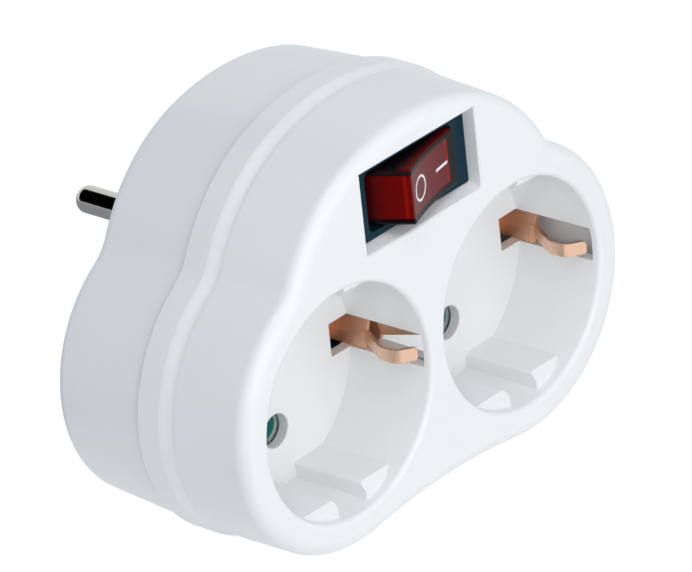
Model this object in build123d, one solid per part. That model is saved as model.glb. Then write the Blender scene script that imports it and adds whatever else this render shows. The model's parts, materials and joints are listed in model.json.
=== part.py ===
from build123d import *
import os
from math import atan2, cos, degrees, hypot, radians, sin, sqrt, tan

# Two-way earthed socket adapter with an illuminated rocker switch.
# Millimetres. +Z up, -Y towards the user, +Y into the wall outlet.
# The origin is the centre of the plug's end face. The pieces are drawn with Z measured
# from the socket axes, and are raised onto the plug's axis as they are written.

# Standard plug and socket sizes
pin_pitch = 19.0             # between the two pins of a plug, and of a socket
pin_radius = 2.4
pin_length = 19.0            # beyond the plug's end face
pin_tip_flat = 0.4           # flat left on a pin's round nose
pin_hole_clearance = 0.5     # round a pin in a socket's floor
well_depth = 17.2
well_radius = 19.6           # at the floor
well_draft = 0.9             # degrees, opens towards the mouth

# Housing, seen from the front: two socket lobes and a switch lobe over them
mouth_radius = 0.9           # rounded edge of each well
socket_web = 2.06            # flat between the two mouths
rim_width = 5.33             # round each mouth
brow = 6.2                   # crown of the switch lobe over the switch opening
crown_drop = 0.9             # the crown is lower by this at the front face
crown_radius = 46.5
crown_half_angle = 16.0      # degrees of the flat crown on each side
shoulder_radius = 32.5       # round shoulders of the switch lobe
waist_radius = 7.0           # hollow between a shoulder and a socket lobe
belly_radius = 120.0         # shallow hollow under the two socket lobes

# Housing, seen from the side
wiring_space = 20.4          # well floors to the rear wall
seam_gap = 3.3               # well floors to the joint between the two shells
lip_width = 4.6              # raised band of the front shell beside the seam
lip_rise = 0.5               # of the band over the front wall
lip_edge_radius = 0.3        # at the seam
flare_length = 3.0           # sweep of the front wall up to the band
rear_step = 0.6              # of the band over the rear shell
front_draft = 0.9            # degrees
rear_draft = 3.9             # degrees
front_edge_radius = 2.6
rear_edge_radius = 2.2
shell_wall = 2.0
front_wall = 2.2
rear_wall = 2.4
tongue_height = 1.8          # rim of the rear shell inside the front shell
tongue_wall = 1.0
shell_clearance = 0.12

# Socket wells
well_wall = 2.1
well_floor = 2.0
rib_rise = 2.9               # flat of the guide ribs in from the well's wall
rib_inner = 3.4              # half of the gap between the ribs of a pair
rib_from_mouth = 2.2
rib_slope = 1.2              # sloped end of each rib
rib_edge_radius = 0.6
pin_hole_edge = 0.3          # rounded rim of each pin hole
slot_low = -2.8              # opening for an earth clip, below and above the axis
slot_high = 3.2
slot_inset = 4.8             # in from the well's wall
slot_from_mouth = 1.6

# Earth parts, copper alloy sheet
earth_sheet = 0.8
clip_sheet = 0.7
clip_recess = 0.1            # inner face of a clip's foot behind the well's wall
clip_gap = 0.1               # round the foot in its slot
clip_crease = -0.5           # the foot leans outwards above this
clip_lean = 1.0
clip_upright = 3.4           # foot of a clip above the well floor
clip_corner = 0.8            # round lower corner of the foot
clip_lap = 1.0               # of the tongue along its foot
clip_reach = 3.3             # how far the tongue bows into the well
clip_bow_start = 9.2         # straight part of the bow, above the well floor
clip_bow_end = 12.2
clip_tip_out = 2.9           # how far its tip curls back outwards
clip_from_mouth = 2.8        # tip of the tongue
clip_curl = 2.1
clip_tongue_low = -1.6
clip_tongue_high = 0.7
clip_tip_radius = 0.7        # round corners of the tongue's tip
bracket_half_width = 4.0
bracket_drop = 3.4           # step back of the bracket's ends, behind the clip slots
bracket_gap = 0.4            # from that step to the edge of the slot
link_half_width = 2.6
link_sheet = 1.0
rivet_radius = 1.2
rivet_head_radius = 2.0
rivet_head = 0.7
rivet_clearance = 0.05

# Plug
plug_drop = 0.8              # plug axis below the socket axes
boss_length = 16.4
boss_radius = 18.0
boss_wall = 2.2
boss_end_wall = 4.0
boss_flat_depth = 2.3        # flats that pass the guide ribs of an outlet
boss_key = 3.0               # half width of the key between those ribs
boss_edge = 1.2              # chamfer round the end face
groove_depth = 2.0           # side grooves for the earth strips
strip_half_width = 2.8
strip_end_gap = 1.5          # from the strip's end to the end face
collar_radius = 3.0          # thick root of a pin inside the end wall
pin_shank_radius = 1.5
pin_clearance = 0.05
fit_clearance = 0.1

# Current paths
bus_sheet = 0.8
bus_gap = 10.8               # well floors to the bus bars
bus_half_width = 3.2
bus_overhang = 4.0           # past the outer socket contact
bus_eye_clearance = 0.2
tail_half_width = 2.5
eye_half_width = 3.2         # towards the plug's axis
eye_gap = 1.1                # to the wall of the hollow plug body
feed_gap = 7.0               # bus bars to the rising part of the live strip
contact_gap = 0.1            # round a pin
contact_wall = 1.0
contact_slit = 1.0
contact_setback = 0.7        # behind the well floor
contact_root = 3.2           # unslit ring at the bus bar
carrier_gap = 0.2            # round a contact
carrier_wall = 1.2
bar_gap = 4.8                # well floors to the carrier's cross bars
bar_thickness = 3.0
bar_half_width = 2.4
post_x = 13.0
post_radius = 2.2
lead_radius = 0.9
lead_bend = 3.0
lead_gap = 5.0               # bus bars to the rising part of the lamp wire

# Screws that join the shells
screw_x = 23.8
screw_z = 25.5
screw_radius = 1.45
screw_clearance = 0.05
screw_grip = 8.5             # length in the front shell
screw_head_radius = 2.7
screw_head = 2.0
screw_recess = 8.0           # rear face to the seat of the heads
recess_clearance = 0.2       # round the heads
recess_boss_wall = 1.0
screw_boss_wall = 1.7
screw_slot_width = 0.8
screw_slot_depth = 0.9

# Rocker
switch_z = 30.1              # height of the switch over the socket axes
rocker_tilt = 15.0           # degrees to each side of level
rocker_waist = 10.6          # half length at the axis
rocker_relief = 0.33         # of the top rim from the upright end of the switch
rocker_foot_inset = 0.4
rocker_width = 9.9
rocker_corner = 0.8          # upright corners of its ends
rocker_edge = 0.35           # round the top face
rocker_top = 9.5             # rim of the top face over the axis
rocker_hollow = 0.6          # dish of the top face
rocker_skirt = 1.5           # below the axis
rocker_ceiling = 2.4         # plastic over the lamp pocket
rocker_wall = 1.25           # beside the pocket
pocket_half_length = 6.5
pivot_radius = 1.2
pivot_clearance = 0.05
pivot_reach = 0.7            # into the switch body
mark_depth = 0.25
mark_off_x = -4.3
mark_off_radius = 2.2
mark_on_x = 3.7
mark_on_length = 3.7
mark_off_stroke = 0.4
mark_on_stroke = 0.5
guide_wall = 0.8             # sleeve for the plunger
guide_length = 3.0           # below the axis
plunger_radius = 1.3
plunger_clearance = 0.1
plunger_flat = 0.13          # flat left on the plunger's round end
plunger_reach = 6.5          # axis to the plunger's tip
plunger_top = 3.0            # its inner end over the axis
spring_clearance = 0.23      # inside the sleeve
spring_wire = 0.22           # radius
spring_pitch = 0.8
lamp_radius = 1.6
lamp_length = 6.2
lamp_end_flat = 0.8
lamp_gap = 0.05
resistor_radius = 1.1
resistor_length = 5.4
wire_radius = 0.25
wire_drop = 1.6              # wires below the axis

# Switch body
end_gap = 0.15               # rocker to the ends of the switch
side_gap = 0.4               # rocker to the sides of the switch
frame_end_wall = 1.75
frame_side_wall = 0.7
frame_floor = 1.5
frame_clearance = 0.1
bezel_depth = 2.4            # front face to the bezel
bezel_end_rim = 1.35
bezel_side_rim = 0.35
bezel_thickness = 1.6
bezel_corner = 0.5
bezel_clearance = 0.15
recess_end_slope = 0.35      # the opening is wider than the bezel at the front face
recess_side_slope = 0.8
recess_edge = 0.25           # bevel round the opening
recess_wall = 1.8
seat_corner = 3.5            # of the wall round the switch's seat
ledge = 2.0
snap_rise = 0.8
snap_length = 2.4
snap_half_width = 2.5
pivot_depth = 6.1            # bezel to the rocker's axis
lever_gap = 0.1
lever_half_length = 8.0
lever_half_width = 1.6
lever_sheet = 0.8
lever_tilt = 6.0             # degrees to each side of level
lever_room = 3.0             # level lever to the switch's floor
lever_groove = 0.45          # round seat across the lever's underside
blade_width = 4.8
blade_sheet = 0.8
blade_length = 6.0           # behind the switch
blade_gap = 1.0              # switch body to the strips on its blades
terminal_x = 7.6
terminal_foot_half_width = 2.0
knife_base = 1.4             # half width of the knife edge at the floor
stud_radius = 1.5
stud_x = 7.0

# Derived depths
rear_y = -boss_length
cavity_back = rear_y - rear_wall
floor_back = cavity_back - wiring_space
floor_y = floor_back - well_floor
front_y = floor_y - well_depth
seam_y = floor_back + seam_gap
bracket_back = floor_back + bracket_drop
band_y = seam_y - lip_width
flare_y = band_y - flare_length
bar_y = floor_back + bar_gap
bus_y = floor_back + bus_gap
feed_y = bus_y + feed_gap
boss_inner_y = -boss_end_wall
screw_seat_y = rear_y - screw_recess
bezel_y = front_y + bezel_depth
flange_back = bezel_y + bezel_thickness
pivot_y = bezel_y + pivot_depth
ceiling_y = pivot_y - rocker_top + rocker_ceiling
fulcrum_y = pivot_y + plunger_reach + lever_gap + lever_sheet
frame_inner = fulcrum_y + lever_room
frame_back = frame_inner + frame_floor
blade_back = frame_back + blade_length

# Derived places and sizes seen from the front
pin_z = pin_pitch / 2
plug_z = -plug_drop
well_mouth = well_radius + tan(radians(well_draft)) * well_depth
socket_x = well_mouth + mouth_radius + socket_web / 2
lobe_radius = well_mouth + mouth_radius + rim_width
clip_inner = well_radius + clip_recess
clip_low = slot_low + clip_gap
clip_high = slot_high - clip_gap
bracket_step = well_radius - slot_inset - bracket_gap
bracket_reach = clip_inner + clip_sheet
earth_groove = boss_radius - groove_depth
cup_radius = earth_groove - boss_wall
eye_reach = cup_radius - eye_gap
pin_hole_radius = pin_radius + pin_hole_clearance
strip_sheet = link_sheet
link_rivet_x = socket_x - (bracket_step + clip_inner) / 2
strip_rivet_x = earth_groove + strip_sheet + rivet_head_radius
screw_hole_radius = screw_radius + screw_clearance
contact_inner = pin_radius + contact_gap
contact_outer = contact_inner + contact_wall
carrier_inner = contact_outer + carrier_gap
guide_bore = plunger_radius + plunger_clearance
guide_radius = guide_bore + guide_wall
pocket_half_height = rocker_width / 2 - rocker_wall
lamp_x = (guide_radius + pocket_half_length) / 2
cavity_length = 2 * (rocker_waist + end_gap)
cavity_height = rocker_width + 2 * side_gap
cavity_corner = rocker_corner + side_gap
frame_length = cavity_length + 2 * frame_end_wall
frame_height = cavity_height + 2 * frame_side_wall
bezel_length = frame_length + 2 * bezel_end_rim
bezel_height = frame_height + 2 * bezel_side_rim
recess_length = bezel_length + 2 * recess_end_slope
recess_height = bezel_height + 2 * recess_side_slope
top_height = switch_z + recess_height / 2 + brow

# Front wall at the foot of the flare and at the front face, and the inner face that it leaves
wall_offset = -lip_rise
front_offset = wall_offset - tan(radians(front_draft)) * (flare_y - front_y)
flare_drop = crown_drop * flare_length / (band_y - front_y)
inner_offset = front_offset - shell_wall

# Side view of the flare: share of its length, share of its rise
flare_profile = ((0.0, 0.0), (0.5, 0.22), (0.8, 0.78), (1.0, 1.0))

# Places closer than this count as the same
tolerance = 1e-4


def block(x0, x1, y0, y1, z0, z1):
    """Box between two opposite corners."""
    place = Pos((x0 + x1) / 2, (y0 + y1) / 2, (z0 + z1) / 2)
    return place * Box(abs(x1 - x0), abs(y1 - y0), abs(z1 - z0))


def rod(x, z, y0, y1, radius):
    """Round bar along Y."""
    return Pos(x, (y0 + y1) / 2, z) * Rot(90, 0, 0) * Cylinder(radius, abs(y1 - y0))


def tube(x, z, y0, y1, outer, inner):
    """Round tube along Y."""
    return rod(x, z, y0, y1, outer) - rod(x, z, y0, y1, inner)


def plate_xy(points, z0, z1):
    """Flat plate with a corner list in plan, between two heights."""
    edge = Polyline(*[(x, y, z0) for x, y in points], close=True)
    return extrude(make_face(edge), z1 - z0, dir=(0, 0, 1))


def plate_yz(points, x0, x1):
    """Bent strip with a corner list in side view, between two X places."""
    edge = Polyline(*[(x0, y, z) for y, z in points], close=True)
    return extrude(make_face(edge), x1 - x0, dir=(1, 0, 0))


def plate_xz(points, y0, y1):
    """Bent strip with a corner list in front view, between two depths."""
    edge = Polyline(*[(x, y0, z) for x, z in points], close=True)
    return extrude(make_face(edge), y1 - y0, dir=(0, 1, 0))


def bearing(start, end):
    """Direction from one front-view point to another, in degrees."""
    return degrees(atan2(end[1] - start[1], end[0] - start[0]))


def outline(offset, y, drop=0.0):
    """Three-lobed face at one depth, grown by an offset, its crown lowered by a drop."""
    crown = (0.0, top_height - drop - crown_radius)
    arm = crown_radius - shoulder_radius
    shoulder = (arm * sin(radians(crown_half_angle)), crown[1] + arm * cos(radians(crown_half_angle)))
    lobe = (socket_x, 0.0)
    belly = (0.0, -sqrt((lobe_radius + belly_radius) ** 2 - socket_x ** 2))

    # The waist arc touches the shoulder and the lobe from outside.
    to_shoulder = shoulder_radius + waist_radius
    to_lobe = lobe_radius + waist_radius
    span = hypot(shoulder[0] - lobe[0], shoulder[1] - lobe[1])
    along = (span ** 2 + to_lobe ** 2 - to_shoulder ** 2) / (2 * span)
    aside = sqrt(to_lobe ** 2 - along ** 2)
    ux, uz = (shoulder[0] - lobe[0]) / span, (shoulder[1] - lobe[1]) / span
    waist = (lobe[0] + along * ux + aside * uz, lobe[1] + along * uz - aside * ux)

    def arc(centre, radius, start, end, side=1):
        points = []
        for angle in (start, (start + end) / 2, end):
            x = centre[0] + radius * cos(radians(angle))
            z = centre[1] + radius * sin(radians(angle))
            points.append((side * x, y, z))
        return ThreePointArc(*points)

    crown_edge = 90 - crown_half_angle
    edges = [
        arc(crown, crown_radius + offset, crown_edge, 180 - crown_edge),
        arc(belly, belly_radius - offset, bearing(belly, lobe), 180 - bearing(belly, lobe)),
    ]
    for side in (1, -1):
        edges += [
            arc(shoulder, shoulder_radius + offset, crown_edge, bearing(shoulder, waist), side),
            arc(waist, waist_radius - offset, bearing(waist, shoulder), bearing(waist, lobe), side),
            arc(lobe, lobe_radius + offset, bearing(lobe, waist), bearing(lobe, belly), side),
        ]
    return make_face(edges)


def prism(offset, y0, y1, draft=0.0):
    """Three-lobed block from one depth to another, narrowing by the draft."""
    direction = (0, 1 if y1 > y0 else -1, 0)
    return extrude(outline(offset, y0), abs(y1 - y0), dir=direction, taper=draft)


def edges_at(shape, y):
    """Edges that lie wholly at one depth."""
    found = []
    for edge in shape.edges():
        box = edge.bounding_box()
        if abs(box.min.Y - y) < tolerance and abs(box.max.Y - y) < tolerance:
            found.append(edge)
    return found


def lengthwise(shape, x, z):
    """Straight edges along Y at one place in the front view."""
    found = []
    for edge in shape.edges().filter_by(Axis.Y):
        if hypot(edge.center().X - x, edge.center().Z - z) < tolerance:
            found.append(edge)
    return found


def front_shell():
    """Outer skin of the front shell: rounded front, drafted wall, flare and raised band."""
    wall = loft([outline(wall_offset, flare_y, flare_drop), outline(front_offset, front_y, crown_drop)],
                ruled=True)
    wall = fillet(edges_at(wall, front_y), front_edge_radius)
    sections = []
    for along, rise in flare_profile:
        left = 1 - rise
        sections.append(outline(left * wall_offset, flare_y + along * flare_length, left * flare_drop))
    band = prism(0.0, band_y, seam_y)
    band = fillet(edges_at(band, seam_y), lip_edge_radius)
    return wall + loft(sections) + band


def well_space(x):
    """Room inside one socket well, wider at its mouth."""
    return Pos(x, (front_y + floor_y) / 2, 0) * Rot(90, 0, 0) * Cone(well_radius, well_mouth, well_depth)


def round_edges(shape, y, radius):
    """Circular edges of one radius at one depth."""
    found = []
    for edge in edges_at(shape, y):
        if edge.geom_type == GeomType.CIRCLE and abs(edge.radius - radius) < tolerance:
            found.append(edge)
    return found


def guide_ribs(x):
    """Two pairs of guide ribs along one well."""
    ribs = []
    rib_y = front_y + rib_from_mouth
    rib_flat = well_radius - rib_rise
    top = well_radius + well_wall / 2
    for side in (-1, 1):
        for up in (-1, 1):
            rib = block(x + side * rib_inner, x + side * well_radius, rib_y, floor_back,
                        up * rib_flat, up * top)
            rib = fillet(lengthwise(rib, x + side * rib_inner, up * rib_flat), rib_edge_radius)
            slope = [
                (rib_y, up * rib_flat), (rib_y + rib_slope, up * rib_flat),
                (rib_y, up * (rib_flat + rib_slope)),
            ]
            rib -= plate_yz(slope, x - well_radius, x + well_radius)
            ribs.append(rib & rod(x, 0, front_y, floor_back, top))
    return ribs


def front_housing():
    """Front shell with both wells, the switch seat and the screw bosses, one moulding."""
    room_y = front_y + front_wall
    room = loft([outline(inner_offset, seam_y), outline(inner_offset, room_y, crown_drop)], ruled=True)
    shell = front_shell() - room
    for x in (-socket_x, socket_x):
        shell += rod(x, 0, front_y + front_wall / 2, floor_back, well_radius + well_wall)
    seat_back = flange_back + ledge
    half_x = recess_length / 2 + recess_wall
    half_z = recess_height / 2 + recess_wall
    seat = block(-half_x, half_x, front_y + front_wall / 2, seat_back,
                 switch_z - half_z, switch_z + half_z)
    shell += fillet(seat.edges().filter_by(Axis.Y), seat_corner)
    for x in (-screw_x, screw_x):
        shell += rod(x, screw_z, front_y + front_wall / 2, seam_y, screw_hole_radius + screw_boss_wall)
        shell -= rod(x, screw_z, seam_y - screw_grip - fit_clearance, seam_y, screw_hole_radius)
    for x in (-socket_x, socket_x):
        shell -= well_space(x)
    shell = fillet(round_edges(shell, front_y, well_mouth), mouth_radius)
    for x in (-socket_x, socket_x):
        for rib in guide_ribs(x):
            shell += rib
        for z in (-pin_z, pin_z):
            shell -= rod(x, z, floor_y, floor_back, pin_hole_radius)
        for side in (-1, 1):
            slot_inner = x + side * (well_radius - slot_inset)
            slot_outer = x + side * (well_radius + well_wall + fit_clearance)
            shell -= block(slot_inner, slot_outer, front_y + slot_from_mouth, floor_back,
                           slot_low, slot_high)
    shell = fillet(round_edges(shell, floor_y, pin_hole_radius), pin_hole_edge)
    return shell - switch_opening()


def upright_face(half_x, half_z, y):
    """Rectangle about the switch's middle at one depth."""
    corners = [(-half_x, -half_z), (half_x, -half_z), (half_x, half_z), (-half_x, half_z)]
    return make_face(Polyline(*[(x, y, switch_z + z) for x, z in corners], close=True))


def switch_opening():
    """Recess for the bezel, sloping in from the front face, and the hole behind it."""
    seat_half_x = bezel_length / 2 + bezel_clearance
    seat_half_z = bezel_height / 2 + bezel_clearance
    mouth = loft([
        upright_face(recess_length / 2 + recess_edge, recess_height / 2 + recess_edge, front_y),
        upright_face(recess_length / 2, recess_height / 2, front_y + recess_edge),
        upright_face(seat_half_x, seat_half_z, bezel_y),
    ], ruled=True)
    bed = block(-seat_half_x, seat_half_x, bezel_y, flange_back,
                switch_z - seat_half_z, switch_z + seat_half_z)
    half_x = frame_length / 2 + frame_clearance
    half_z = frame_height / 2 + frame_clearance
    hole = block(-half_x, half_x, flange_back, flange_back + ledge, switch_z - half_z, switch_z + half_z)
    return mouth + bed + hole


def plug_boss():
    """Round plug body with flats, keys and side grooves for the earth strips."""
    boss = rod(0, plug_z, rear_y - rear_wall, 0, boss_radius)
    boss = chamfer(edges_at(boss, 0), boss_edge)
    boss_flat = boss_radius - boss_flat_depth
    for up in (-1, 1):
        for side in (-1, 1):
            boss -= block(side * boss_key, side * boss_radius, rear_y, 0,
                          plug_z + up * boss_flat, plug_z + up * boss_radius)
    groove = strip_half_width + fit_clearance
    for side in (-1, 1):
        boss -= block(side * earth_groove, side * boss_radius, rear_y - rear_wall, 0,
                      plug_z - groove, plug_z + groove)
    return boss


def rear_housing():
    """Rear shell with the plug boss, carrier posts and screw bosses, one moulding."""
    outer = prism(-rear_step, seam_y, rear_y, rear_draft)
    outer = fillet(edges_at(outer, rear_y), rear_edge_radius)
    inner = prism(-rear_step - shell_wall, seam_y, cavity_back, rear_draft)
    shell = outer - inner
    tongue_y = seam_y - tongue_height
    root_y = seam_y + tongue_height
    tongue_offset = inner_offset - shell_clearance
    tongue = prism(tongue_offset, seam_y, tongue_y) + prism(-rear_step - shell_wall / 2, seam_y, root_y)
    tongue -= prism(tongue_offset - tongue_wall, root_y, tongue_y)
    for x in (-screw_x, screw_x):
        tongue -= rod(x, screw_z, tongue_y, seam_y, screw_hole_radius + screw_boss_wall + shell_clearance)
    shell += tongue + plug_boss()
    slit = strip_half_width + fit_clearance
    slit_inner = earth_groove - fit_clearance
    slit_outer = earth_groove + strip_sheet + fit_clearance
    for side in (-1, 1):
        shell -= block(side * slit_inner, side * slit_outer, cavity_back, rear_y,
                       plug_z - slit, plug_z + slit)
    for x in (-post_x, post_x):
        for z in (-pin_z, pin_z):
            shell += rod(x, z, bar_y + bar_thickness, cavity_back + rear_wall / 2, post_radius)
    shell -= rod(0, plug_z, cavity_back, boss_inner_y, cup_radius)
    recess_radius = screw_head_radius + recess_clearance
    for x in (-screw_x, screw_x):
        shell += rod(x, screw_z, seam_y, cavity_back + rear_wall / 2, recess_radius + recess_boss_wall)
        shell -= rod(x, screw_z, seam_y, screw_seat_y, screw_hole_radius)
        shell -= rod(x, screw_z, screw_seat_y, rear_y, recess_radius)
    for z in (-pin_z, pin_z):
        shell -= rod(0, plug_z + z, boss_inner_y, 0, collar_radius + pin_clearance)
    return shell


def housing_screws():
    """The two slotted screws that draw the shells together."""
    head_y = screw_seat_y + screw_head
    screws = []
    for x in (-screw_x, screw_x):
        head = rod(x, screw_z, screw_seat_y, head_y, screw_head_radius)
        head -= block(x - screw_head_radius, x + screw_head_radius, head_y - screw_slot_depth, head_y,
                      screw_z - screw_slot_width / 2, screw_z + screw_slot_width / 2)
        screws.append(head + rod(x, screw_z, seam_y - screw_grip, screw_seat_y, screw_radius))
    return Compound(screws)


def plug_pin(z):
    """Round-nosed plug pin with a collar in the end wall and a rivet shank behind it."""
    pin = rod(0, z, boss_inner_y, pin_length, pin_radius)
    pin = fillet(edges_at(pin, pin_length), pin_radius - pin_tip_flat)
    pin += rod(0, z, boss_inner_y, 0, collar_radius)
    return pin + rod(0, z, boss_inner_y - bus_sheet, boss_inner_y, pin_shank_radius)


def plug_earth_strip(side):
    """Side contact of the plug, running inside to its earth bracket."""
    inner, outer = earth_groove, earth_groove + strip_sheet
    foot_y = floor_back + earth_sheet
    foot_end = strip_rivet_x + rivet_head_radius
    points = [
        (inner, -strip_end_gap), (outer, -strip_end_gap), (outer, foot_y + strip_sheet),
        (foot_end, foot_y + strip_sheet), (foot_end, foot_y), (inner, foot_y),
    ]
    strip = plate_xy([(side * x, y) for x, y in points],
                     plug_z - strip_half_width, plug_z + strip_half_width)
    hole = rod(side * strip_rivet_x, 0, foot_y, foot_y + strip_sheet, rivet_radius + rivet_clearance)
    return strip - hole


def clip_tongue(x, side):
    """Spring tongue of an earth clip, bowed into the well, with its tip curled back."""
    def place(radius, height):
        return (x + side * radius, floor_y - height, clip_tongue_low)

    middle = clip_inner + clip_sheet / 2
    bow = middle - clip_reach
    path = FilletPolyline(
        place(middle, clip_upright - clip_lap), place(middle, clip_upright), place(bow, clip_bow_start),
        place(bow, clip_bow_end), place(bow + clip_tip_out, well_depth - clip_from_mouth),
        radius=(clip_curl / 2, clip_curl, clip_curl))
    tongue = extrude(trace(path, line_width=clip_sheet), clip_tongue_high - clip_tongue_low, dir=(0, 0, 1))
    tip = path @ 1
    corners = [edge for edge in tongue.edges()
               if hypot(edge.center().X - tip.X, edge.center().Y - tip.Y) < tolerance]
    return fillet(corners, clip_tip_radius)


def clip_foot(x, side):
    """Foot of an earth clip: a strip in the wall slot, creased so that its upper part leans outwards."""
    section = [
        (clip_inner, clip_low), (clip_inner, clip_crease), (clip_inner + clip_lean, clip_high),
        (bracket_reach + clip_lean, clip_high), (bracket_reach, clip_crease), (bracket_reach, clip_low),
    ]
    end_y = floor_y - clip_upright
    foot = plate_xz([(x + side * radius, z) for radius, z in section], end_y, bracket_back)
    corners = [edge for edge in foot.edges().filter_by(Axis.X)
               if hypot(edge.center().Y - end_y, edge.center().Z - clip_low) < tolerance]
    return fillet(corners, clip_corner)


def earth_bracket(side):
    """Strip behind one well floor, stepped back at its ends, where it turns up into the clips; one blank."""
    x = side * socket_x
    plate_back = floor_back + earth_sheet
    bracket = block(x - bracket_step, x + bracket_step, floor_back, plate_back,
                    -bracket_half_width, bracket_half_width)
    inner = bracket_step - earth_sheet
    bend = bracket_back - earth_sheet
    step = [
        (inner, floor_back), (bracket_step, floor_back), (bracket_step, bend),
        (bracket_reach, bend), (bracket_reach, bracket_back), (inner, bracket_back),
    ]
    for end in (-1, 1):
        bracket += plate_xy([(x + end * radius, y) for radius, y in step], clip_low, clip_high)
        bracket += clip_foot(x, end)
        bracket += clip_tongue(x, end)
    for rivet_x, back in ((link_rivet_x, bracket_back), (strip_rivet_x, plate_back)):
        bracket -= rod(side * rivet_x, 0, back - earth_sheet, back, rivet_radius + rivet_clearance)
    return bracket


def earth_link():
    """Flat link that joins the two earth brackets."""
    half = link_rivet_x + rivet_head_radius
    back = bracket_back + link_sheet
    link = block(-half, half, bracket_back, back, -link_half_width, link_half_width)
    for x in (-link_rivet_x, link_rivet_x):
        link -= rod(x, 0, bracket_back, back, rivet_radius + rivet_clearance)
    return link


def earth_rivets():
    """Rivets through the brackets, the link and the plug's earth strips."""
    link_front = bracket_back - earth_sheet
    rivets = []
    for x, front in ((-strip_rivet_x, floor_back), (-link_rivet_x, link_front),
                     (link_rivet_x, link_front), (strip_rivet_x, floor_back)):
        seat = front + earth_sheet + link_sheet
        shank = rod(x, 0, front, seat, rivet_radius)
        rivets.append(shank + rod(x, 0, seat, seat + rivet_head, rivet_head_radius))
    return Compound(rivets)


def contact_carrier():
    """Insulating carrier with a cup for each socket contact, joined by cross bars."""
    bar_back = bar_y + bar_thickness
    carrier = Part()
    for x in (-socket_x, socket_x):
        carrier += block(x - bar_half_width, x + bar_half_width, bar_y, bar_back, -pin_z, pin_z)
    for z in (-pin_z, pin_z):
        carrier += block(-socket_x, socket_x, bar_y, bar_back, z - bar_half_width, z + bar_half_width)
        for x in (-socket_x, socket_x):
            carrier += rod(x, z, floor_back, bus_y, carrier_inner + carrier_wall)
    for z in (-pin_z, pin_z):
        for x in (-socket_x, socket_x):
            carrier -= rod(x, z, floor_back, bus_y, carrier_inner)
    return carrier


def socket_contact(x, z):
    """Slit spring sleeve that grips a pin."""
    start = floor_back + contact_setback
    sleeve = tube(x, z, start, bus_y, contact_outer, contact_inner)
    slit = block(x - contact_slit / 2, x + contact_slit / 2, start, bus_y - contact_root,
                 z - contact_outer, z + contact_outer)
    return sleeve - slit


def bus_plate(z):
    """Flat bar across both sockets with an eye for each pin, held by the carrier posts."""
    half = socket_x + bus_overhang
    plate = block(-half, half, bus_y, bus_y + bus_sheet, z - bus_half_width, z + bus_half_width)
    for x in (-socket_x, socket_x):
        plate -= rod(x, z, bus_y, bus_y + bus_sheet, contact_inner + bus_eye_clearance)
    for x in (-post_x, post_x):
        plate -= rod(x, z, bus_y, bus_y + bus_sheet, post_radius + fit_clearance)
    return plate


def neutral_bus():
    """Lower bus bar with a bent tail to the lower plug pin."""
    eye_z = plug_z - pin_z
    low = plug_z - eye_reach
    eye_y = boss_inner_y - bus_sheet
    tail = plate_yz([
        (bus_y, low), (boss_inner_y, low), (boss_inner_y, eye_z + eye_half_width),
        (eye_y, eye_z + eye_half_width), (eye_y, low + bus_sheet), (bus_y + bus_sheet, low + bus_sheet),
        (bus_y + bus_sheet, -pin_z), (bus_y, -pin_z),
    ], -tail_half_width, tail_half_width)
    bus = bus_plate(-pin_z) + tail
    return bus - rod(0, eye_z, eye_y, boss_inner_y, pin_shank_radius + pin_clearance)


def live_feed_strip():
    """Bent strip from the upper plug pin to the switch's middle terminal."""
    eye_z = plug_z + pin_z
    high = plug_z + eye_reach
    eye_y = boss_inner_y - bus_sheet
    tip_y = frame_back + blade_gap
    tip_z = switch_z + blade_sheet / 2
    strip = plate_yz([
        (boss_inner_y, eye_z - eye_half_width), (boss_inner_y, high), (feed_y + bus_sheet, high),
        (feed_y + bus_sheet, tip_z + bus_sheet), (tip_y, tip_z + bus_sheet), (tip_y, tip_z),
        (feed_y, tip_z), (feed_y, high - bus_sheet), (eye_y, high - bus_sheet),
        (eye_y, eye_z - eye_half_width),
    ], -tail_half_width, tail_half_width)
    return strip - rod(0, eye_z, eye_y, boss_inner_y, pin_shank_radius + pin_clearance)


def live_bus():
    """Upper bus bar with a riser to the switch's output terminal."""
    tip_y = frame_back + blade_gap
    tip_z = switch_z + blade_sheet / 2
    riser = plate_yz([
        (bus_y, pin_z), (bus_y + bus_sheet, pin_z), (bus_y + bus_sheet, tip_z + bus_sheet),
        (tip_y, tip_z + bus_sheet), (tip_y, tip_z), (bus_y, tip_z),
    ], -terminal_x - tail_half_width, -terminal_x + tail_half_width)
    return bus_plate(pin_z) + riser


def lamp_return_lead():
    """Insulated wire from the neutral bus bar to the lamp terminal."""
    depth = bus_y + lead_gap
    path = FilletPolyline(
        (terminal_x, bus_y + bus_sheet, -pin_z), (terminal_x, depth, -pin_z), (terminal_x, depth, switch_z),
        (terminal_x, blade_back, switch_z), radius=lead_bend)
    section = Plane(path @ 0, z_dir=path % 0) * Circle(lead_radius)
    return sweep(section, path=path)


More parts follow.
